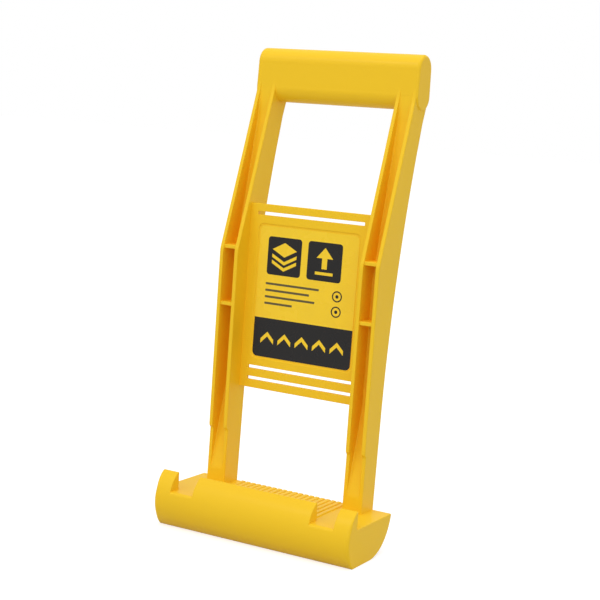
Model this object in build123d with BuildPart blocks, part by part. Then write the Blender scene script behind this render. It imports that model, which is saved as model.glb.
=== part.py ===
from build123d import *
import math
import os

# Panel carrier: one hand holds the grip, the board stands in the trough of the foot.
# X runs across, -Y is the lip side, Z is up. The origin lies on the floor under the middle of the board slot.

# Driving dimensions of the foot, in millimetres
foot_length = 165.0
seat_height = 28.5
slot_width = 36.0
lip_height = 13.2
lip_top = 1.8
toe_setback = 2.4
front_bulge = 10.5
foot_wall = 3.0
heel_edge = 2.0
heel_reach = 30.0
ridge_pitch = 4.7
ridge_gap = 0.5
ridge_height = 0.7
ridge_margin = 2.2
foot_rib = 2.4

# Driving dimensions of the two rails
clear_width = 102.8
rail_width = 16.0
rail_depth = 20.0
rail_wall = 3.0
rail_web = 3.0
rail_step = 2.0
rail_step_height = 44.0
rail_swell = 1.3
bend_height = 182.0
bend_radius = 14.0
back_lean = 1.0
curve_start = 66.5
curve_height = 200.0
back_curve = 25.0
pocket_depth = 14.0
pocket_start = 12.0
pocket_low = 76.0
pocket_high = 172.0
pocket_blend = 20.0
wall_edge = 0.8
notch_clearance = 1.7
cross_rib = 2.9
cross_rib_setback = 1.0
low_rib_height = 140.5
high_rib_height = 184.0
back_rib_low = 34.0
back_rib_high = 236.0

# Driving dimensions of the grip
grip_bottom = 324.2
grip_height = 40.8
grip_depth = 22.0
grip_setback = 15.3
grip_overhang = 1.0
grip_wall = 3.2
grip_end_wall = 3.0
grip_end_edge = 1.2
grip_rib = 2.4
grip_rib_count = 7
flare_angle = 20.0
flare_drop = 10.0

# Driving dimensions of the label plate and the label
plate_bottom = 105.0
plate_height = 141.5
plate_thickness = 3.0
plate_setback = 12.6
vent_height = 2.6
vent_length = 90.5
top_vent_drop = 7.1
low_vent_rise = 7.5
low_vent_spacing = 8.7
recess_width = 87.0
recess_height = 103.0
recess_depth = 0.6
recess_corner = 4.0
recess_centre = 180.2
label_margin = 1.4
label_thickness = 0.25

# Places that follow from the driving dimensions
half_foot = foot_length / 2
lip_inner = -slot_width / 2
rail_front = slot_width / 2
rail_back = rail_front + rail_depth
rail_in = clear_width / 2
rail_out = rail_in + rail_width
half_grip = rail_out + grip_overhang
lip_crest = seat_height + lip_height
toe = lip_inner - toe_setback
heel_front = rail_back - heel_reach
crest_front = lip_inner - lip_top
grip_front = rail_back + grip_setback
grip_radius = grip_depth / 2
grip_axis = grip_front + grip_radius
grip_low = grip_bottom + grip_radius
grip_middle = grip_bottom + grip_height / 2
step_z = seat_height + rail_step_height
bend_z = seat_height + bend_height
wall_front_low = rail_front - rail_step
wall_front_high = wall_front_low - rail_swell
web_front = rail_front + pocket_depth
back_curve_z = seat_height + curve_start
back_slope_z = back_curve_z + curve_height
curve_front = rail_back + back_lean
curve_back = curve_front + back_curve
plate_front = rail_front + plate_setback
plate_top = plate_bottom + plate_height

# Circle of the foot's curved front face, through the lip's crest and the toe
chord_half = math.hypot(lip_crest, crest_front - toe) / 2
front_radius = (chord_half**2 + front_bulge**2) / (2 * front_bulge)
chord_tilt = math.atan2(crest_front - toe, lip_crest)
centre_offset = front_radius - front_bulge
front_axis_y = (crest_front + toe) / 2 + centre_offset * math.cos(chord_tilt)
front_axis_z = lip_crest / 2 - centre_offset * math.sin(chord_tilt)

# Arc of the rails' back edge, tangent to the leaning stretch below it, and the slope where it ends
lean_tilt = math.atan(back_lean / curve_start)
curve_tilt = math.atan(back_curve / curve_height)
back_radius = math.hypot(back_curve, curve_height) / (2 * math.sin(curve_tilt - lean_tilt))
back_axis_y = curve_front + back_radius * math.cos(lean_tilt)
back_axis_z = back_curve_z - back_radius * math.sin(lean_tilt)
back_slope = math.tan(2 * curve_tilt - lean_tilt)


def front_point(height, inset=0.0):
    """Point of the foot's front circle at a height, the circle being smaller by the inset."""
    radius = front_radius - inset
    return (front_axis_y - math.sqrt(radius**2 - (height - front_axis_z) ** 2), height)


def front_arc(high, low, inset=0.0):
    """Arc of the front circle from one height down to another."""
    middle = (high + low) / 2
    ThreePointArc(front_point(high, inset), front_point(middle, inset), front_point(low, inset))


def wall_front_at(height):
    """Front edge of the rail walls at a height."""
    if height <= bend_z:
        return wall_front_low - rail_swell * (height - step_z) / (bend_z - step_z)
    return wall_front_high + (grip_front - wall_front_high) * (height - bend_z) / (grip_low - bend_z)


def wall_back_at(height):
    """Back edge of the rail walls at a height: a slight lean, an arc, then a straight slope."""
    if height <= back_curve_z:
        return rail_back + back_lean * (height - seat_height) / curve_start
    if height <= back_slope_z:
        return back_axis_y - math.sqrt(back_radius**2 - (height - back_axis_z) ** 2)
    return curve_back + back_slope * (height - back_slope_z)


def web_front_at(height):
    """Front face of the rail webs at a height, before its bends are rounded."""
    rise = height - seat_height
    if rise <= pocket_start:
        return rail_front
    if rise <= pocket_low:
        return rail_front + pocket_depth * (rise - pocket_start) / (pocket_low - pocket_start)
    if rise <= pocket_high:
        return web_front
    climb = (rise - pocket_high) / (grip_low - seat_height - pocket_high)
    return web_front + (grip_front - web_front) * climb


def corner(y, z):
    """Vertex of the sketch in hand that lies nearest to a point of its plane."""
    return vertices().sort_by_distance((y, z))[0]


def keep(builder, name):
    """Name a finished piece and write it."""
    builder.part.label = name
    export_step(builder.part, f"parts/{name}.step")


flare_z = grip_bottom - flare_drop
flare_turn = math.radians(flare_angle)
rail_top_back = (
    grip_axis + grip_radius * math.cos(flare_turn),
    grip_low - grip_radius * math.sin(flare_turn),
)

# Upright oval of the grip
with BuildSketch() as grip_profile:
    with Locations((grip_axis, grip_middle)):
        SlotOverall(grip_height, grip_depth, rotation=90)

# Pocket that opens to the back of the grip, with its two inner corners rounded
with BuildSketch() as grip_pocket_profile:
    pocket_front = grip_front + grip_wall
    half_pocket = grip_height / 2 - grip_wall
    with Locations((pocket_front + grip_depth / 2, grip_middle)):
        Rectangle(grip_depth, 2 * half_pocket)
    inner = [corner(pocket_front, grip_middle + side * half_pocket) for side in (-1, 1)]
    fillet(inner, grip_radius - grip_wall)

# Side wall of a rail: steep front edge with a step and a bend, back edge that curves to the grip
with BuildSketch() as rail_wall_profile:
    with BuildLine():
        Polyline(
            (rail_back, seat_height),
            (rail_front, seat_height),
            (rail_front, step_z - rail_step / 2),
            (wall_front_low, step_z + rail_step / 2),
            (wall_front_high, bend_z),
            (grip_front, grip_low),
            (grip_axis, grip_low),
            rail_top_back,
            (wall_back_at(flare_z), flare_z),
            (curve_back, back_slope_z),
        )
        TangentArc(
            (curve_front, back_curve_z),
            (curve_back, back_slope_z),
            tangent=(back_lean, curve_start),
        )
        Line((curve_front, back_curve_z), (rail_back, seat_height))
    make_face()
    fillet(corner(wall_front_high, bend_z), bend_radius)
    fillet(corner(wall_back_at(flare_z), flare_z), bend_radius)

# Web between the walls: at the front near the foot and the grip, set back between them
with BuildSketch() as rail_web_profile:
    low = seat_height + pocket_low
    high = seat_height + pocket_high
    start = seat_height + pocket_start
    front = [(rail_front, seat_height), (rail_front, start), (web_front, low), (web_front, high)]
    front.append((grip_front, grip_low))
    back = [(y + rail_web, z) for y, z in reversed(front)]
    with BuildLine():
        Polyline(*front, *back, close=True)
    make_face()
    for y, z in ((rail_front, start), (web_front, low), (web_front, high)):
        fillet(corner(y, z), pocket_blend)
        fillet(corner(y + rail_web, z), pocket_blend)

# Closed outline of the foot below its seat: flat top, curved front, flat underside, curved heel
with BuildSketch() as foot_profile:
    heel_top = seat_height - heel_edge
    with BuildLine():
        front_arc(seat_height, 0)
        Line((toe, 0), (heel_front, 0))
        TangentArc((heel_front, 0), (rail_back, heel_top), tangent=(1, 0))
        Polyline((rail_back, heel_top), (rail_back, seat_height), front_point(seat_height))
    make_face()


os.makedirs("parts", exist_ok=True)

# Whole grip and foot outlines, used to trim what meets them
with BuildPart() as grip_blank:
    with BuildSketch(Plane.YZ.offset(-half_grip)):
        add(grip_profile.sketch)
    extrude(amount=2 * half_grip)

with BuildPart() as foot_deck:
    with BuildSketch(Plane.YZ.offset(-half_foot + foot_wall)):
        with Locations(((lip_inner + rail_back) / 2, seat_height - foot_wall / 2)):
            Rectangle(rail_back - lip_inner, foot_wall)
    extrude(amount=foot_length - 2 * foot_wall)
keep(foot_deck, "foot_deck")

with BuildPart() as foot_front_shell:
    with BuildSketch(Plane.YZ.offset(-half_foot + foot_wall)):
        with BuildLine():
            front_arc(seat_height, 0)
            Polyline((toe, 0), (heel_front, 0), (heel_front, foot_wall), front_point(foot_wall, foot_wall))
            front_arc(foot_wall, seat_height - foot_wall, foot_wall)
            Polyline(
                front_point(seat_height - foot_wall, foot_wall),
                (lip_inner, seat_height - foot_wall),
                (lip_inner, seat_height),
                front_point(seat_height),
            )
        make_face()
    extrude(amount=foot_length - 2 * foot_wall)
keep(foot_front_shell, "foot_front_shell")

for side, sign in (("left", -1), ("right", 1)):
    with BuildPart() as foot_end:
        with BuildSketch(Plane.YZ.offset(sign * (half_foot - foot_wall))):
            add(foot_profile.sketch)
        extrude(amount=sign * foot_wall)
    keep(foot_end, f"foot_{side}_end")

# Stiffening ribs inside the foot: one under each rail wall, and three between the rails
rib_places = [0.0]
for sign in (-1, 1):
    rib_places.append(sign * rail_in / 2)
    rib_places.append(sign * (rail_in + rail_wall / 2))
    rib_places.append(sign * (rail_out - rail_wall / 2))
with BuildPart() as foot_ribs:
    for place in rib_places:
        with BuildSketch(Plane.YZ.offset(place - foot_rib / 2)):
            add(foot_profile.sketch)
        extrude(amount=foot_rib)
    add(foot_deck.part, mode=Mode.SUBTRACT)
    add(foot_front_shell.part, mode=Mode.SUBTRACT)
keep(foot_ribs, "foot_ribs")

# Lip above the seat: upright inner face, narrow flat crest and curved outer face
with BuildSketch() as lip_profile:
    with BuildLine():
        front_arc(lip_crest, seat_height)
        Polyline(
            front_point(seat_height),
            (lip_inner, seat_height),
            (lip_inner, lip_crest),
            front_point(lip_crest),
        )
    make_face()


# The lip is interrupted in front of each rail
lip_end = rail_in - notch_clearance
tab_start = rail_out + notch_clearance
with BuildPart() as centre_lip:
    with BuildSketch(Plane.YZ.offset(-lip_end)):
        add(lip_profile.sketch)
    extrude(amount=2 * lip_end)
keep(centre_lip, "centre_lip")

for side, sign in (("left", -1), ("right", 1)):
    with BuildPart() as lip_tab:
        with BuildSketch(Plane.YZ.offset(sign * tab_start)):
            add(lip_profile.sketch)
        extrude(amount=sign * (half_foot - tab_start))
    keep(lip_tab, f"{side}_lip_tab")

# Small three-sided ridges run front to back on the seat between the rails
ridge_count = int((clear_width - 2 * ridge_margin) / ridge_pitch)
ridge_base = ridge_pitch - ridge_gap
with BuildPart() as seat_ridges:
    with BuildSketch(Plane.XZ.offset(-lip_inner)):
        with GridLocations(ridge_pitch, 0, ridge_count, 1):
            with Locations((0, seat_height)):
                Polygon((-ridge_base / 2, 0), (ridge_base / 2, 0), (0, ridge_height), align=None)
    extrude(amount=lip_inner - rail_back)
keep(seat_ridges, "seat_ridges")

# Two rails, each of two side walls, a web between them and thin ribs across the pockets
web_half = rail_web / 2
front_ribs = (seat_height + low_rib_height, seat_height + high_rib_height)
back_ribs = (seat_height + back_rib_low, seat_height + back_rib_high)
for side, sign in (("left", -1), ("right", 1)):
    for place, x in (("outer", rail_out - rail_wall), ("inner", rail_in)):
        with BuildPart() as rail_side:
            with BuildSketch(Plane.YZ.offset(sign * x)):
                add(rail_wall_profile.sketch)
            extrude(amount=sign * rail_wall)
            plain_side = faces().sort_by(Axis.X)[-1 if (sign > 0) == (place == "outer") else 0]
            upright = plain_side.edges().filter_by(lambda edge: edge.center().Z > seat_height + wall_edge)
            fillet(upright, wall_edge)
            add(grip_blank.part, mode=Mode.SUBTRACT)
        keep(rail_side, f"{side}_rail_{place}_wall")

    pocket_width = rail_width - 2 * rail_wall
    pocket_x = sign * (rail_in + rail_width / 2)
    with BuildPart() as rail_web_piece:
        with BuildSketch(Plane.YZ.offset(pocket_x - pocket_width / 2)):
            add(rail_web_profile.sketch)
        extrude(amount=pocket_width)
        add(grip_blank.part, mode=Mode.SUBTRACT)
    keep(rail_web_piece, f"{side}_rail_web")

    with BuildPart() as cross_ribs:
        for height in front_ribs:
            rib_front = wall_front_at(height) + cross_rib_setback
            rib_depth = web_front_at(height) + web_half - rib_front
            with Locations((pocket_x, rib_front + rib_depth / 2, height)):
                Box(pocket_width, rib_depth, cross_rib)
        add(rail_web_piece.part, mode=Mode.SUBTRACT)
    keep(cross_ribs, f"{side}_rail_front_ribs")

    with BuildPart() as back_cross_ribs:
        for height in back_ribs:
            rib_front = web_front_at(height) + web_half
            rib_depth = wall_back_at(height) - cross_rib_setback - rib_front
            with Locations((pocket_x, rib_front + rib_depth / 2, height)):
                Box(pocket_width, rib_depth, cross_rib)
        add(rail_web_piece.part, mode=Mode.SUBTRACT)
    keep(back_cross_ribs, f"{side}_rail_back_ribs")

# Flat plate between the rails, with three slots and a shallow recess for the label
with BuildPart() as label_plate:
    with Locations((0, plate_front + plate_thickness / 2, plate_bottom + plate_height / 2)):
        Box(clear_width, plate_thickness, plate_height)
    low_vents = [plate_bottom + low_vent_rise, plate_bottom + low_vent_rise + low_vent_spacing]
    for height in low_vents + [plate_top - top_vent_drop]:
        with Locations((0, plate_front + plate_thickness / 2, height)):
            Box(vent_length, plate_thickness, vent_height, mode=Mode.SUBTRACT)
    with BuildSketch(Plane.XZ.offset(-plate_front)):
        with Locations((0, recess_centre)):
            RectangleRounded(recess_width, recess_height, recess_corner)
    extrude(amount=-recess_depth, mode=Mode.SUBTRACT)
keep(label_plate, "label_plate")

# Adhesive label on the floor of the recess
with BuildPart() as product_label:
    with BuildSketch(Plane.XZ.offset(-plate_front - recess_depth)):
        with Locations((0, recess_centre)):
            RectangleRounded(recess_width - 2 * label_margin, recess_height - 2 * label_margin, recess_corner)
    extrude(amount=label_thickness)
keep(product_label, "product_label")

# Hollow grip, open to the back, with two end discs and ribs that follow its oval outline
with BuildPart() as grip_shell:
    with BuildSketch(Plane.YZ.offset(-half_grip + grip_end_wall)):
        add(grip_profile.sketch)
        add(grip_pocket_profile.sketch, mode=Mode.SUBTRACT)
    extrude(amount=2 * (half_grip - grip_end_wall))
keep(grip_shell, "grip_shell")

for side, sign in (("left", -1), ("right", 1)):
    with BuildPart() as grip_end:
        with BuildSketch(Plane.YZ.offset(sign * (half_grip - grip_end_wall))):
            add(grip_profile.sketch)
        extrude(amount=sign * grip_end_wall)
        fillet(faces().sort_by(Axis.X)[-1 if sign > 0 else 0].edges(), grip_end_edge)
    keep(grip_end, f"grip_{side}_end")

grip_rib_pitch = 2 * (half_grip - grip_end_wall) / (grip_rib_count + 1)
with BuildPart() as grip_ribs:
    for index in range(grip_rib_count):
        place = (index - (grip_rib_count - 1) / 2) * grip_rib_pitch
        with BuildSketch(Plane.YZ.offset(place - grip_rib / 2)):
            add(grip_profile.sketch)
            add(grip_pocket_profile.sketch, mode=Mode.INTERSECT)
        extrude(amount=grip_rib)
keep(grip_ribs, "grip_ribs")
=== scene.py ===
import math

import bmesh
import bpy
import numpy as np
from mathutils import Matrix, Vector
from mathutils.geometry import delaunay_2d_cdt


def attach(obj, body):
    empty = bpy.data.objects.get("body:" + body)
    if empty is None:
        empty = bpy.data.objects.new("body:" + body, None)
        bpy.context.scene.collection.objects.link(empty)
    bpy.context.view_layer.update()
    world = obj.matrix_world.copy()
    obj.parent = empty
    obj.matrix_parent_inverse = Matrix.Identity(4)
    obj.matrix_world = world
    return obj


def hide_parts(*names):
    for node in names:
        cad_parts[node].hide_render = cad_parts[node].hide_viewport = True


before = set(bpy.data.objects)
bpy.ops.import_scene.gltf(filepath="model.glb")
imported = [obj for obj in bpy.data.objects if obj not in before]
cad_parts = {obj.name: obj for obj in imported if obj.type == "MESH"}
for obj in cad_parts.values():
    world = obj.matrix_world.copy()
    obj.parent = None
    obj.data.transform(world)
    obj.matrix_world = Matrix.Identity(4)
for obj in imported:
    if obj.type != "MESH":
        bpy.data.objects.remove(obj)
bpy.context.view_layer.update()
mm = 0.001


def linear(hexColour):
    # sRGB hex to linear light: c / 12.92 below 0.04045, else ((c + 0.055) / 1.055) to the power 2.4
    parts = [int(hexColour[i:i + 2], 16) / 255 for i in (1, 3, 5)]
    return [c / 12.92 if c <= 0.04045 else ((c + 0.055) / 1.055) ** 2.4 for c in parts] + [1.0]


def addNode(tree, kind, links=None, **settings):
    # one node with its settings; links gives socket: value or socket: output to join
    node = tree.nodes.new(kind)
    for name, value in settings.items():
        setattr(node, name, value)
    for socket, value in (links or {}).items():
        if isinstance(value, bpy.types.NodeSocket):
            tree.links.new(value, node.inputs[socket])
        else:
            node.inputs[socket].default_value = value
    return node


# The photograph's view: the camera stands in front of the lip, to the right and a little above
cameraSettings = {
    "place": (489.3 * mm, -872.2 * mm, 305.1 * mm),
    "azimuth": 28.634,
    "elevation": 7.069,
    "roll": 4.307,
    "pixelFocal": 1381.3,
    "frameWidth": 600,
    "sensor": 36.0,
}


def makeCamera(s):
    # Focal length in mm is the focal length in pixels times the sensor width over the frame's width
    data = bpy.data.cameras.new("photoCamera")
    data.sensor_width = s["sensor"]
    data.lens = s["pixelFocal"] * s["sensor"] / s["frameWidth"]
    data.clip_start = 0.05
    camera = bpy.data.objects.new("photoCamera", data)
    bpy.context.scene.collection.objects.link(camera)
    turn = Matrix.Rotation(math.radians(s["azimuth"]), 4, "Z")
    tilt = Matrix.Rotation(math.radians(90 - s["elevation"]), 4, "X")
    roll = Matrix.Rotation(math.radians(s["roll"]), 4, "Z")
    camera.matrix_world = Matrix.Translation(s["place"]) @ turn @ tilt @ roll
    bpy.context.scene.camera = camera
    return camera


camera = makeCamera(cameraSettings)
print("stage: camera", [round(v, 4) for row in camera.matrix_world for v in row])

# Yellow plastic for the whole moulding
def makeMoulding(name, s):
    # ABS-like plastic, injection moulded: even colour, a fine eroded grain that spreads the light over the flats,
    # and the faint polish of the mould, which draws a thin bright line along each rounded edge
    material = bpy.data.materials.new(name)
    material.use_nodes = True
    tree = material.node_tree
    tree.nodes.clear()
    place = addNode(tree, "ShaderNodeTexCoord")
    cloud = addNode(tree, "ShaderNodeTexNoise", {"Vector": place.outputs["Object"], "Scale": 1 / s["cloudSize"],
                                                 "Detail": 3.0, "Roughness": 0.55})
    tone = addNode(tree, "ShaderNodeMix", {0: cloud.outputs["Fac"], 6: linear(s["deep"]), 7: linear(s["light"])},
                   data_type="RGBA")
    grain = addNode(tree, "ShaderNodeTexNoise", {"Vector": place.outputs["Object"], "Scale": 1 / s["grainSize"],
                                                 "Detail": 2.0, "Roughness": 0.6})
    bump = addNode(tree, "ShaderNodeBump", {"Height": grain.outputs["Fac"], "Strength": s["grainStrength"],
                                            "Distance": s["grainDepth"]})
    gloss = addNode(tree, "ShaderNodeMapRange", {"Value": cloud.outputs["Fac"], "From Min": 0.3, "From Max": 0.7,
                                                 "To Min": s["roughLow"], "To Max": s["roughHigh"]})
    shader = addNode(tree, "ShaderNodeBsdfPrincipled", {"Base Color": tone.outputs[2],
                                                        "Roughness": gloss.outputs["Result"],
                                                        "Normal": bump.outputs["Normal"], "IOR": s["ior"],
                                                        "Specular IOR Level": s["specular"],
                                                        "Coat Weight": s["polish"],
                                                        "Coat Roughness": s["polishRough"]})
    addNode(tree, "ShaderNodeOutputMaterial", {"Surface": shader.outputs["BSDF"]})
    return material


mouldingSettings = {
    "light": "#F6C91C",
    "deep": "#F2C31A",
    "cloudSize": 60 * mm,
    "grainSize": 0.5 * mm,
    "grainDepth": 0.03 * mm,
    "grainStrength": 0.5,
    "roughLow": 0.55,
    "roughHigh": 0.63,
    "ior": 1.53,
    "specular": 0.2,
    "polish": 0.12,
    "polishRough": 0.24,
}
yellowMoulding = makeMoulding("mouldedYellowPlastic", mouldingSettings)
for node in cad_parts.values():
    for entry in node.material_slots:
        entry.material = yellowMoulding


# Helpers for the shapes: every outline is a numpy array in mm, and every skin is a grid of rings of points
def roundedLine(points, radii, closed=False, steps=8):
    # each corner becomes an arc that touches both sides r * tan(half the turn) from the corner
    p = np.array(points, float)
    line = []
    for i in range(len(p)):
        if radii[i] == 0 or (not closed and i in (0, len(p) - 1)):
            line.append(p[i:i + 1])
            continue
        before = p[i] - p[i - 1]
        after = p[(i + 1) % len(p)] - p[i]
        before, after = before / np.hypot(*before), after / np.hypot(*after)
        half = math.atan2(before[0] * after[1] - before[1] * after[0], before @ after) / 2
        side = np.sign(half)
        centre = p[i] - before * radii[i] * abs(math.tan(half)) + side * radii[i] * np.array([-before[1], before[0]])
        turn = np.linspace(0, 2 * half, steps + 1)[:, None]
        spoke = -side * radii[i] * np.array([-before[1], before[0]])
        across = np.array([-spoke[1], spoke[0]])
        line.append(centre + spoke * np.cos(turn) + across * np.sin(turn))
    return np.vstack(line)


def along(line, amounts):
    # points of a line at shares of its length, from 0 to 1
    length = np.concatenate([[0], np.cumsum(np.hypot(*np.diff(line, axis=0).T))])
    where = np.asarray(amounts) * length[-1]
    return np.stack([np.interp(where, length, line[:, k]) for k in (0, 1)], axis=1)


def drawIn(ring, depth):
    # every point of a closed outline moves inwards along the middle of its corner: depth / cos(half the turn)
    ahead = np.roll(ring, -1, 0) - ring
    ahead /= np.hypot(*ahead.T)[:, None]
    behind = np.roll(ahead, 1, 0)
    normal = np.stack([-(ahead + behind)[:, 1], (ahead + behind)[:, 0]], 1)
    normal /= np.maximum((normal ** 2).sum(1) / 2, 0.4)[:, None]
    area = (ring[:, 0] * np.roll(ring[:, 1], -1) - np.roll(ring[:, 0], -1) * ring[:, 1]).sum()
    return ring + np.sign(area) * depth * normal


def tube(rings, across=(1, 2), capped=True):
    # rings[i, j] is point j of closed ring i in mm: quads join ring to ring, and a flat cap closes each end
    rows, count = rings.shape[:2]
    i, j = np.meshgrid(np.arange(rows - 1), np.arange(count), indexing="ij")
    k = (j + 1) % count
    faces = np.stack([i * count + j, i * count + k, (i + 1) * count + k, (i + 1) * count + j], -1).reshape(-1, 4).tolist()
    for row in (0, rows - 1) if capped else ():
        faces += [[row * count + v for v in face] for face in capFaces(rings[row][:, across])]
    return rings.reshape(-1, 3), faces


def capFaces(flat):
    # triangles that join only points of the outline, worked out on the plane across the piece
    edges = [(k, (k + 1) % len(flat)) for k in range(len(flat))]
    made = delaunay_2d_cdt([Vector(p) for p in flat], edges, [], 1, 0.001)
    old = [group[0] for group in made[3]]
    return [[old[v] for v in face] for face in made[2]]


def sheet(loops, y):
    # triangles of an upright flat sheet at y that is cut along every loop; each says which loops hold it
    loops = [loop if (loop[:, 0] * np.roll(loop[:, 1], -1) - np.roll(loop[:, 0], -1) * loop[:, 1]).sum() > 0 else loop[::-1]
             for loop in loops]
    starts = np.cumsum([0] + [len(loop) for loop in loops])
    rings = [list(range(a, b)) for a, b in zip(starts, starts[1:])]
    made = delaunay_2d_cdt([Vector(p) for p in np.vstack(loops)], [], rings, 1, 0.001)
    flat = np.array(made[0])
    return np.column_stack([flat[:, 0], np.full(len(flat), y), flat[:, 1]]), made[2], made[5]


def solid(name, shells, nodes, materials=(yellowMoulding,), inks=None, sharp=35.0):
    # shells of points in mm and faces, closed once their shared points are joined, become one smooth piece
    points, faces = [], []
    for shellPoints, shellFaces in shells:
        shift = sum(len(p) for p in points)
        points.append(shellPoints)
        faces += [[shift + v for v in face] for face in shellFaces]
    mesh = bpy.data.meshes.new(name)
    mesh.from_pydata((np.vstack(points) * mm).tolist(), [], faces)
    for material in materials:
        mesh.materials.append(material)
    if inks is not None:
        mesh.polygons.foreach_set("material_index", inks)
    shape = bmesh.new()
    shape.from_mesh(mesh)
    bmesh.ops.remove_doubles(shape, verts=shape.verts, dist=0.003 * mm)
    bmesh.ops.recalc_face_normals(shape, faces=shape.faces)
    openEdges = sum(1 for edge in shape.edges if len(edge.link_faces) != 2)
    shape.to_mesh(mesh)
    shape.free()
    mesh.shade_smooth()
    mesh.set_sharp_from_angle(angle=math.radians(sharp))
    piece = bpy.data.objects.new(name, mesh)
    bpy.context.scene.collection.objects.link(piece)
    even = piece.modifiers.new("evenShading", "WEIGHTED_NORMAL")
    even.keep_sharp = True
    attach(piece, "root")
    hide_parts(*nodes)
    print("stage:", name, len(mesh.vertices), "points,", openEdges, "open edges")
    return piece


def ringsAt(x, flats):
    # outlines on the upright plane that faces X, each set at its own x
    return np.array([np.column_stack([np.full(len(flat), place), flat]) for place, flat in zip(x, flats)])


def slab(flat, x, thick, r):
    # a rib of one outline across X, its outline drawn in by r * (1 - cos) along a quarter round at both faces
    turn = np.radians([0, 30, 60, 90])
    side = thick / 2 - r * (1 - np.sin(turn))
    drawn = [drawIn(flat, r * (1 - math.cos(t))) for t in turn]
    return tube(ringsAt(x + np.concatenate([-side[::-1], side]), drawn[::-1] + drawn))


def frontY(z, s, inset=0.0):
    # the foot's front is a circle through the lip's crest and the toe: y = centre - sqrt(r^2 - (z - height)^2)
    return s["frontAxis"][0] - np.sqrt((s["frontRadius"] - inset) ** 2 - (z - s["frontAxis"][1]) ** 2)


# Foot: a trough whose front wall is a shallow barrel, with a lip that gives way in front of each rail
footSettings = {
    "half": 82.5,
    "endWall": 3.0,
    "seat": 28.5,
    "wall": 3.0,
    "slotFront": -18.0,
    "back": 38.0,
    "heelFront": 8.0,
    "heelEdge": 2.0,
    "lipCrest": 41.7,
    "crestFront": -19.8,
    "frontAxis": (-4.6462, 20.6276),
    "frontRadius": 25.9554,
    "lipEnd": 49.7,
    "tabStart": 69.1,
    "crestRound": 0.7,
    "toeRound": 0.8,
    "rimRound": 0.4,
    "backRound": 0.8,
    "notchRound": 2.5,
    "lipEndRound": 0.6,
    "endRound": 0.6,
    "barrelRound": 2.4,
    "heelRound": 1.4,
    "narrowLip": 2.5,
    "narrowSeat": 1.5,
    "widen": 9.0,
    "ribs": (-65.9, -52.9, -25.7, 0.0, 25.7, 52.9, 65.9),
    "ribThick": 2.4,
    "ribRound": 0.3,
    "ribSunk": 0.4,
    "ribBack": 0.2,
}


def frontLine(s, high, low, count, inset=0.0):
    z = np.linspace(high, low, count)
    return np.stack([frontY(z, s, inset), z], 1)


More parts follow.
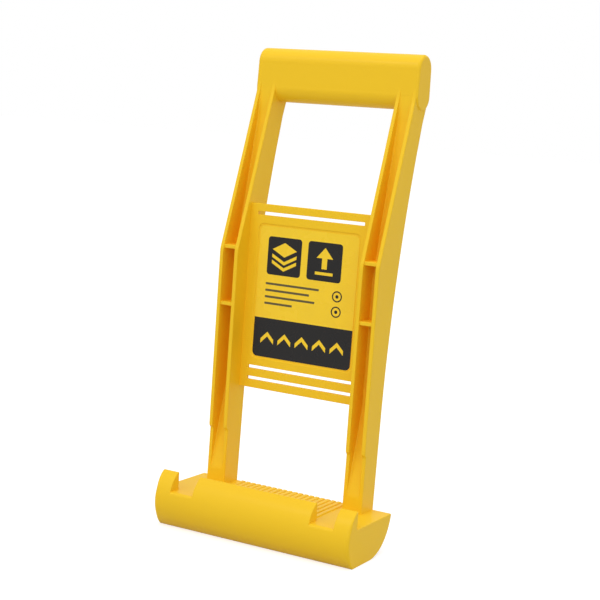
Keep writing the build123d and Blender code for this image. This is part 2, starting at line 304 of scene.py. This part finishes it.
def makeFoot(s):
    # the lower ring is the same all along; the upper stretch, from the seat to the front wall, is the lip or the notch
    join = s["seat"] - 3.3
    start = np.array([[s["slotFront"] + 2, s["seat"]]])
    toe = (frontY(0, s), 0)
    beforeToe = frontLine(s, join, 0, 26)[:-1]
    toeLine = roundedLine([beforeToe[-1], toe, (s["heelFront"], 0)], [0, s["toeRound"], 0])[1:-1]
    keep = beforeToe[:, 1] > toeLine[0, 1] + 0.2
    wall = s["wall"]
    under = s["seat"] - wall
    inside = frontLine(s, wall, under, 20, wall)
    back = roundedLine([(0, under), (s["back"], under), (s["back"], s["seat"]), (0, s["seat"])],
                       [0, s["rimRound"], s["backRound"], 0])[1:-1]
    floor = roundedLine([(0, 0), (s["heelFront"], 0), (s["heelFront"], wall), (0, wall)],
                        [0, s["rimRound"], s["rimRound"], 0])[1:-1]
    low = np.vstack([beforeToe[keep][1:], toeLine, floor, inside, back])
    lip = roundedLine([(s["slotFront"] + 2, s["seat"]), (s["slotFront"], s["seat"]), (s["slotFront"], s["lipCrest"]),
                       (s["crestFront"], s["lipCrest"]), *frontLine(s, s["lipCrest"] - 2, join, 22)],
                      [0, 0, s["crestRound"], s["crestRound"]] + [0] * 22)
    edge = (frontY(s["seat"], s), s["seat"])
    notch = roundedLine([(s["slotFront"] + 2, s["seat"]), edge, *frontLine(s, s["seat"] - 2.6, join, 3)],
                        [0, s["notchRound"], 0, 0, 0], steps=12)
    # where each point of the lip comes down to on the notch: shares of the two lengths that belong together
    run = np.concatenate([[0], np.cumsum(np.hypot(*np.diff(lip, axis=0).T))])
    notchLength = np.hypot(*np.diff(notch, axis=0).T).sum()
    inner = 2 + s["lipCrest"] - s["seat"]
    share = np.interp(run, [0, 2, inner, inner + 1.8, run[-1]], [0, 2, 4.5, 6, notchLength]) / notchLength
    notch = along(notch, share)

    def lipAt(depth):
        # the lip drawn in by a depth: the farthest point on each line from notch to lip that is still that deep inside
        if depth == 0:
            return lip
        amounts = np.linspace(0, 1, 241)[:, None, None]
        p = notch + (lip - notch) * amounts
        bulge = np.hypot(p[..., 0] - s["frontAxis"][0], p[..., 1] - s["frontAxis"][1]) - s["frontRadius"]
        sides = np.stack([bulge, p[..., 1] - s["lipCrest"], p[..., 0] - s["slotFront"]])
        r = s["crestRound"]
        rounded = [np.minimum(np.maximum(sides[a] + r, sides[b] + r), 0)
                   + np.hypot(np.maximum(sides[a] + r, 0), np.maximum(sides[b] + r, 0)) - r for a, b in ((0, 1), (1, 2))]
        inside = np.maximum(rounded[0], rounded[1]) <= -depth
        last = np.where(inside.any(0), len(amounts) - 1 - inside[::-1].argmax(0), 0)
        return p[last, np.arange(len(lip))]

    r = s["lipEndRound"]
    turn = np.radians([0, 22.5, 45, 67.5, 90])
    end = s["half"] - s["endWall"]
    stations = [(-end, lip)]
    for stop, way in ((-s["tabStart"], 1), (-s["lipEnd"], -1), (s["lipEnd"], 1), (s["tabStart"], -1)):
        rows = [(stop - way * r * (1 - math.sin(t)), lipAt(r * (1 - math.cos(t)))) for t in turn] + [(stop, notch)]
        stations += rows if way == 1 else rows[::-1]
    stations.append((end, lip))
    rings = ringsAt([x for x, up in stations], [np.vstack([up, low]) for x, up in stations])
    solid("footTrough", [tube(rings)], ["foot_deck", "foot_front_shell", "centre_lip", "left_lip_tab", "right_lip_tab"])

    # each end is a flat D of the same outline with a heel that curves up from the floor, its outer edge rounded
    rise = s["seat"] - s["heelEdge"]
    reach = s["back"] - s["heelFront"]
    heelRadius = (reach ** 2 + rise ** 2) / (2 * rise)
    sweep = np.linspace(0, math.asin(reach / heelRadius), 22)
    heel = np.stack([s["heelFront"] + heelRadius * np.sin(sweep), heelRadius * (1 - np.cos(sweep))], 1)
    corner = roundedLine([heel[-1], (s["back"], s["seat"]), (s["slotFront"] + 2, s["seat"])], [0, s["backRound"], 0])[1:]
    outline = np.vstack([lip, low[:keep.sum() - 1 + len(toeLine)], heel, corner[:-1]])
    # the edge is widest along the barrel and the heel, and narrow round the lip, the seat and the toe
    y, z = outline.T
    barrel = np.clip((s["lipCrest"] - s["narrowLip"] - z) / s["widen"], 0, 1) * np.clip(z / s["widen"], 0, 1)
    heelPart = np.clip((s["seat"] - s["narrowSeat"] - z) / s["widen"], 0, 1) * np.clip((y - s["heelFront"]) / s["widen"], 0, 1)
    r = s["endRound"] + (s["barrelRound"] - s["endRound"]) * barrel * (y < s["slotFront"])
    r += (s["heelRound"] - s["endRound"]) * heelPart
    for side, node in ((-1, "foot_left_end"), (1, "foot_right_end")):
        rings = [np.column_stack([np.full(len(outline), side * end), outline])]
        for t in np.radians(np.linspace(0, 90, 8)):
            x = side * (s["half"] - r * (1 - math.sin(t)))
            rings.append(np.column_stack([x, drawIn(outline, (r * (1 - math.cos(t)))[:, None])]))
        solid("footEnd" + ("Left" if side < 0 else "Right"), [tube(np.array(rings))], [node])

    # ribs inside the foot, from the front wall to the heel, sunk a little into the walls that they stiffen
    sunk = s["ribSunk"]
    ceiling = s["seat"] - wall + sunk
    inner = frontLine(s, wall - sunk, ceiling, 20, wall - sunk)
    fit = heel[:, 1] < ceiling
    rib = np.vstack([inner, [(s["back"] - s["ribBack"], ceiling)],
                     heel[fit][::-1] - (s["ribBack"], 0), [(s["heelFront"] - s["ribBack"], wall - sunk)]])
    shells = [slab(rib, x, s["ribThick"], s["ribRound"]) for x in s["ribs"]]
    solid("footRibs", shells, ["foot_ribs"])


# Rails: an H section that leans back above its bend, with open pockets in front and behind
railSettings = {
    "inner": 51.4,
    "width": 16.0,
    "wall": 3.0,
    "bottom": 27.7,
    "top": 341.0,
    "front": [(20, 18), (71.5, 18), (73.5, 16), (210.5, 14.7), (335.2, 53.3), (343, 53.34)],
    "frontRounds": [0, 0.8, 0.8, 14, 40, 0],
    "web": [(20, 18), (40.5, 18), (104.5, 32), (200.5, 32), (314, 52.4), (335.2, 53.4), (343, 53.44)],
    "webRounds": [0, 20, 20, 20, 30, 20, 0],
    "webThick": 3.0,
    "back": [(28.5, 38), (95, 39), (295, 64)],
    "flare": [(314.2, 0), (331.438, 74.637)],
    "backRound": 14.0,
    "gripAxis": (64.3, 335.2),
    "gripCut": 10.9,
    "outerRound": 0.8,
    "rimRound": 0.5,
    "rootRound": 1.0,
    "least": 0.03,
}


def railLines(s):
    # the section's front edge, web front, web back and back edge, each as heights and depths
    front = roundedLine(s["front"], s["frontRounds"], steps=14)
    web = roundedLine(s["web"], s["webRounds"], steps=14)
    webBack = roundedLine([(z, y + s["webThick"]) for z, y in s["web"]], s["webRounds"], steps=14)
    # the back edge leans, then turns along an arc: its turn is twice the angle between the lean and the arc's chord
    foot, start, end = np.array(s["back"], float)
    lean = math.atan2(*(start - foot)[::-1])
    chord = math.atan2(*(end - start)[::-1])
    radius = np.hypot(*(end - start)) / (2 * math.sin(chord - lean))
    turn = np.linspace(lean, 2 * chord - lean, 50)
    arc = start + radius * np.stack([np.sin(turn) - math.sin(lean), math.cos(lean) - np.cos(turn)], 1)
    flare = np.array(s["flare"], float)
    flare[0, 1] = end[1] + math.tan(turn[-1]) * (flare[0, 0] - end[0])
    upper = roundedLine([arc[-1], *flare], [0, s["backRound"], 0], steps=14)
    return front, web, webBack, np.vstack([[foot], arc, upper[1:]])


def makeRail(s, side, name, nodes):
    # a row of the grid is the H section at one height; its corners are arcs, and its top follows the grip's underside
    (frontZ, frontValue), (webZ, webValue), (webBackZ, webBackValue), (backZ, backValue) = [l.T for l in railLines(s)]
    z = np.unique(np.concatenate([np.arange(s["bottom"], s["top"], 3.0), frontZ, webZ, webBackZ, backZ,
                                  np.linspace(322, s["top"], 24), [s["top"]]]).round(3))
    z = z[(z >= s["bottom"]) & (z <= s["top"])]
    z = z[np.concatenate([[True], np.diff(z) > 0.05])]
    yF = np.interp(z, frontZ, frontValue)
    yW = np.maximum(np.interp(z, webZ, webValue), yF + s["least"])
    yV = np.maximum(np.interp(z, webBackZ, webBackValue), yW + 0.5)
    yB = np.interp(z, backZ, backValue)
    xo, xi, w = s["inner"] + s["width"], s["inner"], s["wall"]
    corners = [(xo, yF), (xo, yB), (xo - w, yB), (xo - w, yV), (xi + w, yV), (xi + w, yB),
               (xi, yB), (xi, yF), (xi + w, yF), (xi + w, yW), (xo - w, yW), (xo - w, yF)]
    steps = [(0, 1), (-1, 0), (0, -1), (-1, 0), (0, 1), (-1, 0), (0, -1), (1, 0), (0, 1), (1, 0), (0, -1), (1, 0)]
    frontDepth, backDepth = (yW - yF) * 0.45, (yB - yV) * 0.45
    outer = np.full(len(z), s["outerRound"])
    rimF, rimB = np.minimum(s["rimRound"], frontDepth), np.minimum(s["rimRound"], backDepth)
    rootF, rootB = np.minimum(s["rootRound"], frontDepth), np.minimum(s["rootRound"], backDepth)
    radii = [outer, outer, rimB, rootB, rootB, rimB, outer, outer, rimF, rootF, rootF, rimF]
    theta = np.radians(np.linspace(0, 90, 6))
    columns = []
    for c in range(12):
        a, b = np.array(steps[c - 1]), np.array(steps[c])
        corner = np.stack([np.full(len(z), corners[c][0]), corners[c][1]], 1)
        shift = -a[None, :] * (1 - np.sin(theta))[:, None] + b[None, :] * (1 - np.cos(theta))[:, None]
        columns.append(corner[:, None, :] + radii[c][:, None, None] * shift[None])
        if steps[c][1]:
            # extra points down each side of a wall, so that the top can follow the round of the grip
            after = corners[(c + 1) % 12]
            last = columns[-1][:, -1]
            goal = np.stack([np.full(len(z), after[0]), after[1] - b[1] * radii[(c + 1) % 12]], 1)
            parts = np.linspace(0, 1, 14 if c in (0, 6) else 7)[1:-1]
            columns.append(last[:, None] + (goal - last)[:, None] * parts[None, :, None])
    flat = np.concatenate(columns, 1)
    away = flat[..., 1] - s["gripAxis"][0]
    cut = s["gripAxis"][1] - np.sqrt(np.maximum(s["gripCut"] ** 2 - away ** 2, 0))
    ends = np.where(away < -s["gripCut"], s["top"] + 1, np.where(away > s["gripCut"], s["gripAxis"][1], cut))
    # a column stops where it first reaches the grip's underside, and its later points stay there
    reached = z[:, None] >= ends
    stop = np.where(reached.any(0), reached.argmax(0), len(z) - 1)
    row = np.minimum(np.arange(len(z))[:, None], stop)
    grid = np.stack([side * flat[..., 0], flat[..., 1], np.minimum(z[:, None], ends)], -1)
    rings = grid[row, np.arange(len(stop))]
    return solid(name, [tube(rings, across=(0, 1))], nodes)


# Thin ribs across the rails' pockets, sunk a little into the walls at their sides
crossRibSettings = {
    "thick": 2.9,
    "round": 0.5,
    "sunk": 0.3,
    "setback": 1.0,
    "frontHeights": (169.0, 212.5),
    "backHeights": (62.5, 264.5),
}


def makeCrossRibs(s, rail, side, word):
    lines = [line.T for line in railLines(rail)]
    first = rail["inner"] + rail["wall"] - s["sunk"]
    last = rail["inner"] + rail["width"] - rail["wall"] + s["sunk"]
    for part, heights, edge, web, way in (("front", s["frontHeights"], lines[0], lines[1], 1),
                                          ("back", s["backHeights"], lines[3], lines[2], -1)):
        shells = []
        for height in heights:
            free = np.interp(height, *edge) + way * s["setback"]
            held = np.interp(height, *web) + way * rail["webThick"] / 2
            low, high = height - s["thick"] / 2, height + s["thick"] / 2
            flat = roundedLine([(free, low), (held, low), (held, high), (free, high)],
                               [s["round"], 0, 0, s["round"]], closed=True, steps=5)
            shells.append(tube(ringsAt([side * first, side * last], [flat, flat])))
        solid(word + part.capitalize() + "Ribs", shells, [word + "_rail_" + part + "_ribs"])


# Seat ridges: low and soft at the crest, running from the lip to the back edge
ridgeSettings = {
    "count": 20,
    "pitch": 4.7,
    "gap": 0.9,
    "high": 0.9,
    "crest": 2.8,
    "crestRound": 0.55,
    "seat": 28.5,
    "sunk": 0.3,
    "front": -18.4,
    "back": 37.5,
    "taper": 1.2,
}


def makeRidges(s):
    half = (s["pitch"] - s["gap"]) / 2
    crest, high = s["crest"] / 2, s["high"]
    line = roundedLine([(-half, -s["sunk"]), (half, -s["sunk"]), (half, 0), (crest, high), (-crest, high), (-half, 0)],
                       [0, 0, 0, s["crestRound"], s["crestRound"], 0], closed=True, steps=5)
    shells = []
    for index in range(s["count"]):
        x = (index - (s["count"] - 1) / 2) * s["pitch"]
        rings = []
        for y, share in ((s["front"], 1.0), (s["back"] - s["taper"], 1.0), (s["back"], 0.0)):
            z = np.where(line[:, 1] > 0, line[:, 1] * share, line[:, 1]) + s["seat"]
            rings.append(np.column_stack([x + line[:, 0], np.full(len(line), y), z]))
        shells.append(tube(np.array(rings), across=(0, 2)))
    solid("seatRidges", shells, ["seat_ridges"])


# Grip: an oval tube that is open to the back, with a flat disc at each end
gripSettings = {
    "half": 68.4,
    "endWall": 3.0,
    "axis": 64.3,
    "low": 335.2,
    "high": 354.0,
    "radius": 11.0,
    "wall": 3.2,
    "endRound": 1.2,
    "crownRound": 2.3,
    "crownStart": 340.0,
    "crownRise": 8.0,
    "ribCount": 7,
    "ribThick": 2.4,
    "ribRound": 0.3,
    "ribSunk": 0.4,
    "ribBack": 0.15,
}


def makeGrip(s):
    # the outline runs round the front from lip to lip, and back along the pocket inside it
    def half(radius, first, last, count):
        low = np.radians(np.linspace(first, 180, count))
        high = np.radians(np.linspace(180, last, count))
        return np.vstack([np.stack([s["axis"] + radius * np.cos(low), s["high"] + radius * np.sin(low)], 1),
                          np.stack([s["axis"] + radius * np.cos(high), s["low"] + radius * np.sin(high)], 1)])

    inner = s["radius"] - s["wall"]
    tip = math.degrees(math.asin(inner / s["radius"]))
    outside = half(s["radius"], tip, 360 - tip, 40)
    within = half(inner, 90, 270, 30)[::-1]
    ring = np.vstack([outside, within])
    end = s["half"] - s["endWall"]
    solid("gripTube", [tube(ringsAt(np.linspace(-end, end, 5), [ring] * 5))], ["grip_shell"])
    turns = np.radians(np.linspace(0, 360, 97))[:-1]
    middle = np.where(np.sin(turns) >= 0, s["high"], s["low"])
    oval = np.stack([s["axis"] + s["radius"] * np.cos(turns), middle + s["radius"] * np.sin(turns)], 1)
    # the edge of each end disc is rounder over the top than beside the rail
    crown = np.clip((oval[:, 1] - s["crownStart"]) / s["crownRise"], 0, 1)
    r = s["endRound"] + (s["crownRound"] - s["endRound"]) * crown
    for side, node in ((-1, "grip_left_end"), (1, "grip_right_end")):
        rings = [np.column_stack([np.full(len(oval), side * end), oval])]
        for t in np.radians(np.linspace(0, 90, 8)):
            x = side * (s["half"] - r * (1 - math.sin(t)))
            rings.append(np.column_stack([x, drawIn(oval, (r * (1 - math.cos(t)))[:, None])]))
        solid("gripEnd" + ("Left" if side < 0 else "Right"), [tube(np.array(rings))], [node])

    # ribs across the pocket, flush with the rim of the open back
    wide, round = inner + s["ribSunk"], s["radius"] - s["ribBack"]
    tip = math.asin(wide / round)
    corners = [(s["low"], np.linspace(-tip, 0, 8)), (s["high"], np.linspace(0, tip, 8))]
    back = [np.stack([s["axis"] + round * np.cos(turn), z + round * np.sin(turn)], 1) for z, turn in corners]
    rib = np.vstack([half(wide, 90, 270, 16), *back])
    pitch = 2 * end / (s["ribCount"] + 1)
    places = (np.arange(s["ribCount"]) - (s["ribCount"] - 1) / 2) * pitch
    solid("gripRibs", [slab(rib, x, s["ribThick"], s["ribRound"]) for x in places], ["grip_ribs"])


makeFoot(footSettings)
for side, word in ((-1, "left"), (1, "right")):
    parts = [word + "_rail_" + part for part in ("outer_wall", "inner_wall", "web")]
    makeRail(railSettings, side, word + "Rail", parts)
    makeCrossRibs(crossRibSettings, railSettings, side, word)
makeRidges(ridgeSettings)
makeGrip(gripSettings)


# Plate between the rails: three slots and a shallow recess, every edge of it soft
plateSettings = {
    "halfWidth": 52.4,
    "low": 105.0,
    "high": 246.5,
    "front": 30.6,
    "thick": 3.0,
    "edgeRound": 0.45,
    "vent": (45.25, 1.3),
    "vents": (112.5, 121.2, 239.4),
    "ventRound": 0.3,
    "ventCorner": 0.4,
    "recess": (43.5, 51.5),
    "recessMiddle": 180.2,
    "recessCorner": 4.0,
    "recessDepth": 0.6,
    "recessRound": 0.4,
    "recessRoot": 0.2,
}


def softBox(half, middle, corner, grow=0.0):
    # a rectangle with round corners as x and z, grown all round by an amount
    wide, high, r = half[0] + grow, half[1] + grow, corner + grow
    return roundedLine([(wide, -high), (wide, high), (-wide, high), (-wide, -high)], [r] * 4, closed=True) + (0, middle)


def atDepth(flat, y):
    return np.column_stack([flat[:, 0], np.full(len(flat), y), flat[:, 1]])


def makePlate(s):
    turn = np.radians([0, 30, 60, 90])
    front, back = s["front"], s["front"] + s["thick"]

    def through(half, middle, corner, r, way):
        # a wall through the plate, rounded at both faces; way is 1 round a hole and -1 round the plate itself
        rows = [(r * (1 - math.sin(t)), r * (1 - math.cos(t))) for t in turn]
        rings = [atDepth(softBox(half, middle, corner, way * grow), front + deep) for grow, deep in rows]
        rings += [atDepth(softBox(half, middle, corner, way * grow), back - deep) for grow, deep in rows[::-1]]
        return np.array(rings)

    middle, halfHigh = (s["low"] + s["high"]) / 2, (s["high"] - s["low"]) / 2
    walls = [through((s["halfWidth"], halfHigh), middle, 2 * s["edgeRound"], s["edgeRound"], -1)]
    walls += [through(s["vent"], z, s["ventCorner"], s["ventRound"], 1) for z in s["vents"]]
    # the recess: a rounded brink, then a small fillet down to its floor
    r, root, deep = s["recessRound"], s["recessRoot"], s["recessDepth"]
    rows = [(r * (1 - math.sin(t)), r * (1 - math.cos(t))) for t in turn]
    rows += [(-root * (1 - math.cos(t)), deep - root * (1 - math.sin(t))) for t in turn]
    recess = [atDepth(softBox(s["recess"], s["recessMiddle"], s["recessCorner"], grow), front + y) for grow, y in rows]
    shells = [tube(wall, capped=False) for wall in walls] + [tube(np.array(recess), capped=False)]
    loops = [wall[0][:, (0, 2)] for wall in walls] + [recess[0][:, (0, 2)]]
    backLoops = [wall[-1][:, (0, 2)] for wall in walls]
    for outlines, y in ((loops, front), (backLoops, back), ([recess[-1][:, (0, 2)]], front + deep)):
        points, faces, holders = sheet(outlines, y)
        shells.append((points, [face for face, held in zip(faces, holders) if list(held) == [0]]))
    solid("labelPlate", shells, ["label_plate"])


# Label: a printed film of its own design, with a lifting picture, bars, rings and a chevron band
labelSettings = {
    "half": (42.1, 50.1),
    "corner": 4.0,
    "middle": 180.2,
    "front": 30.95,
    "thick": 0.25,
    "tile": 14.5,
    "tileCorner": 2.5,
    "tilePlaces": ((-20.0, 28.0), (14.5, 28.0)),
    "bars": ((-34.5, 6.5, 46.0), (-34.5, 1.5, 38.0), (-34.5, -3.5, 43.0), (-34.5, -8.5, 24.0)),
    "barHigh": 1.7,
    "rings": ((27.0, 3.5), (27.0, -8.0)),
    "ringRadius": 4.2,
    "bandTop": -20.0,
    "chevrons": 5,
    "chevronPitch": 15.0,
    "chevronHalf": 5.6,
    "chevronThick": 3.6,
    "yellow": "#F8D02C",
    "black": "#171514",
    "grey": "#5F5532",
    "rough": 0.24,
    "specular": 0.25,
    "wrinkleSize": 16 * mm,
    "wrinkleDepth": 0.05 * mm,
    "markPlace": (1.3 * mm, 30.95 * mm, 177 * mm),
    "markRadius": 6.5 * mm,
    "markDepth": 0.06 * mm,
}


def makeFilm(name, colour, s):
    # vinyl film: glossier than the plastic, faintly wavy, with the round gate of the plate showing through
    material = bpy.data.materials.new(name)
    material.use_nodes = True
    tree = material.node_tree
    tree.nodes.clear()
    place = addNode(tree, "ShaderNodeTexCoord")
    wave = addNode(tree, "ShaderNodeTexNoise", {"Vector": place.outputs["Object"], "Scale": 1 / s["wrinkleSize"],
                                                "Detail": 2.0, "Roughness": 0.45})
    away = addNode(tree, "ShaderNodeVectorMath", {0: place.outputs["Object"], 1: s["markPlace"]}, operation="DISTANCE")
    mark = addNode(tree, "ShaderNodeMapRange", {"Value": away.outputs["Value"], "From Min": s["markRadius"] * 0.8,
                                                "From Max": s["markRadius"], "To Min": 1.0, "To Max": 0.0},
                   interpolation_type="SMOOTHSTEP")
    gate = addNode(tree, "ShaderNodeBump", {"Height": mark.outputs["Result"], "Strength": 1.0,
                                            "Distance": s["markDepth"]})
    bump = addNode(tree, "ShaderNodeBump", {"Height": wave.outputs["Fac"], "Strength": 0.6,
                                            "Distance": s["wrinkleDepth"], "Normal": gate.outputs["Normal"]})
    worn = addNode(tree, "ShaderNodeMapRange", {"Value": wave.outputs["Fac"], "From Min": 0.3, "From Max": 0.7,
                                                "To Min": s["rough"], "To Max": s["rough"] + 0.06})
    shade = addNode(tree, "ShaderNodeMapRange", {"Value": wave.outputs["Fac"], "From Min": 0.2, "From Max": 0.8,
                                                 "To Min": 0.97, "To Max": 1.03})
    tone = addNode(tree, "ShaderNodeVectorMath", {0: linear(colour)[:3], "Scale": shade.outputs["Result"]},
                   operation="SCALE")
    shader = addNode(tree, "ShaderNodeBsdfPrincipled", {"Base Color": tone.outputs["Vector"],
                                                        "Roughness": worn.outputs["Result"],
                                                        "Normal": bump.outputs["Normal"], "IOR": 1.5,
                                                        "Specular IOR Level": s["specular"]})
    addNode(tree, "ShaderNodeOutputMaterial", {"Surface": shader.outputs["BSDF"]})
    return material


def makeLabel(s):
    # every motif is a loop with an ink, and a later one prints over an earlier one
    yellow, black, grey = 0, 1, 2
    motifs = [(yellow, softBox(s["half"], 0, s["corner"]))]
    wide, high = s["half"]

    def shift(points, x, z):
        return np.array(points, float) + (x, z)

    (stackX, stackZ), (arrowX, arrowZ) = s["tilePlaces"]
    for x, z in s["tilePlaces"]:
        motifs.append((black, shift(softBox((s["tile"], s["tile"]), 0, s["tileCorner"]), x, z)))
    # left tile: a stack of three boards; right tile: an arrow that points up from a bar
    motifs.append((yellow, shift([(0, 10.5), (-10.5, 5), (0, -0.5), (10.5, 5)], stackX, stackZ)))
    for z in (1.6, -3.1):
        board = [(-10.5, z), (0, z - 5.5), (10.5, z), (10.5, z - 2.6), (0, z - 8.1), (-10.5, z - 2.6)]
        motifs.append((yellow, shift(board, stackX, stackZ)))
    arrow = [(-2.2, -5.5), (2.2, -5.5), (2.2, 2.5), (7, 2.5), (0, 10.5), (-7, 2.5), (-2.2, 2.5)]
    motifs.append((yellow, shift(arrow, arrowX, arrowZ)))
    motifs.append((yellow, shift([(-7.5, -10), (7.5, -10), (7.5, -7.8), (-7.5, -7.8)], arrowX, arrowZ)))
    for x, z, length in s["bars"]:
        bar = softBox((length / 2, s["barHigh"] / 2), 0, 0.4)
        motifs.append((grey, shift(bar, x + length / 2, z)))
    turn = np.radians(np.linspace(0, 360, 37))[:-1]
    for x, z in s["rings"]:
        for ink, share in ((black, 1.0), (yellow, 0.76), (black, 0.32)):
            ring = share * s["ringRadius"] * np.stack([np.cos(turn), np.sin(turn)], 1)
            motifs.append((ink, shift(ring, x, z)))
    motifs.append((black, np.array([(-wide - 1, -high - 1), (wide + 1, -high - 1), (wide + 1, s["bandTop"]),
                                    (-wide - 1, s["bandTop"])])))
    h, thick = s["chevronHalf"], s["chevronThick"]
    chevron = [(-h, -h), (0, 0), (h, -h), (h, -h + thick), (0, thick), (-h, -h + thick)]
    middle = (s["bandTop"] - high) / 2
    for index in range(s["chevrons"]):
        x = (index - (s["chevrons"] - 1) / 2) * s["chevronPitch"]
        motifs.append((yellow, shift(chevron, x, middle + (h - thick) / 2)))
    loops = [loop + (0, s["middle"]) for ink, loop in motifs]
    points, faces, holders = sheet(loops, s["front"])
    kept = [(face, motifs[max(held)][0]) for face, held in zip(faces, holders) if 0 in held]
    faces, inks = [face for face, ink in kept], [ink for face, ink in kept]
    # the back is the front's copy, and a narrow wall joins them round the edge
    used = {}
    for face in faces:
        for a, b in zip(face, face[1:] + face[:1]):
            used[(a, b)] = True
    rim = [(a, b) for a, b in used if (b, a) not in used]
    count = len(points)
    both = np.vstack([points, points + (0, s["thick"], 0)])
    allFaces = faces + [[v + count for v in face[::-1]] for face in faces]
    allFaces += [[b, a, a + count, b + count] for a, b in rim]
    inks = inks + [0] * (len(allFaces) - len(inks))
    films = [makeFilm(word + "LabelFilm", s[word], s) for word in ("yellow", "black", "grey")]
    solid("productLabel", [(both, allFaces)], ["product_label"], materials=films, inks=inks)


makePlate(plateSettings)
makeLabel(labelSettings)


# Pale studio: a large white floor, a white room behind it and soft lamps
studioSettings = {
    "floorSize": 60.0,
    "floorAlbedo": 0.55,
    "floorLift": 0.64,
    "lamps": {
        "front": {"place": (0.3, -2.2, 0.7), "aim": (0, 0, 0.18), "size": 1.2, "power": 3.6},
        "right": {"place": (1.8, -1.2, 0.9), "aim": (0, 0, 0.18), "size": 1.2, "power": 2.6},
        "above": {"place": (0.1, -0.55, 1.9), "aim": (0, 0, 0.2), "size": 0.36, "power": 5.0},
        "crown": {"place": (0.15, 0.35, 1.7), "aim": (0, 0.05, 0.3), "size": 0.3, "power": 2.0},
        "left": {"place": (-0.9, -1.6, 1.9), "aim": (0, 0, 0.18), "size": 0.6, "power": 6.0},
    },
    "world": 0.8,
    "bounces": 12,
}


def seenDirectly(tree):
    # 1 for camera, glossy and transmission rays, 0 for the rays that light the object
    rays = addNode(tree, "ShaderNodeLightPath")
    first = addNode(tree, "ShaderNodeMath", {0: rays.outputs["Is Camera Ray"], 1: rays.outputs["Is Glossy Ray"]},
                    operation="MAXIMUM")
    both = addNode(tree, "ShaderNodeMath", {0: first.outputs[0], 1: rays.outputs["Is Transmission Ray"]},
                   operation="MAXIMUM")
    return both.outputs[0]


def makeFloor(s):
    half = s["floorSize"] / 2
    mesh = bpy.data.meshes.new("studioFloor")
    mesh.from_pydata([(-half, -half, 0), (half, -half, 0), (half, half, 0), (-half, half, 0)], [], [(0, 1, 2, 3)])
    floor = bpy.data.objects.new("studioFloor", mesh)
    bpy.context.scene.collection.objects.link(floor)
    material = bpy.data.materials.new("paintedStudioFloor")  # matt white paint; it shows white and keeps a soft shadow
    material.use_nodes = True
    tree = material.node_tree
    tree.nodes.clear()
    albedo = s["floorAlbedo"]
    paint = addNode(tree, "ShaderNodeBsdfDiffuse", {"Color": (albedo, albedo, albedo, 1)})
    lift = addNode(tree, "ShaderNodeMath", {0: seenDirectly(tree), 1: s["floorLift"]}, operation="MULTIPLY")
    glow = addNode(tree, "ShaderNodeEmission", {"Color": (1, 1, 1, 1), "Strength": lift.outputs[0]})
    total = addNode(tree, "ShaderNodeAddShader", {0: paint.outputs[0], 1: glow.outputs[0]})
    addNode(tree, "ShaderNodeOutputMaterial", {"Surface": total.outputs[0]})
    mesh.materials.append(material)
    return floor


def makeLamp(name, s):
    data = bpy.data.lights.new(name, "AREA")
    data.size = s["size"]
    data.energy = s["power"]
    lamp = bpy.data.objects.new(name, data)
    bpy.context.scene.collection.objects.link(lamp)
    away = Vector(s["place"]) - Vector(s["aim"])
    lamp.matrix_world = Matrix.Translation(s["place"]) @ away.to_track_quat("Z", "Y").to_matrix().to_4x4()
    return lamp


def makeWorld(s):
    world = bpy.data.worlds.new("studioRoom")
    world.use_nodes = True
    tree = world.node_tree
    tree.nodes.clear()
    strength = addNode(tree, "ShaderNodeMix", {0: seenDirectly(tree), 2: s["world"], 3: 1.0}, data_type="FLOAT")
    room = addNode(tree, "ShaderNodeBackground", {"Color": (1, 1, 1, 1), "Strength": strength.outputs[0]})
    addNode(tree, "ShaderNodeOutputWorld", {"Surface": room.outputs["Background"]})
    bpy.context.scene.world = world


makeFloor(studioSettings)
for lampName, lampSettings in studioSettings["lamps"].items():
    makeLamp(lampName, lampSettings)
makeWorld(studioSettings)
bpy.context.scene.view_settings.view_transform = "Standard"
bpy.context.scene.cycles.diffuse_bounces = studioSettings["bounces"]  # light that finds its way out of the pockets
print("stage: studio")
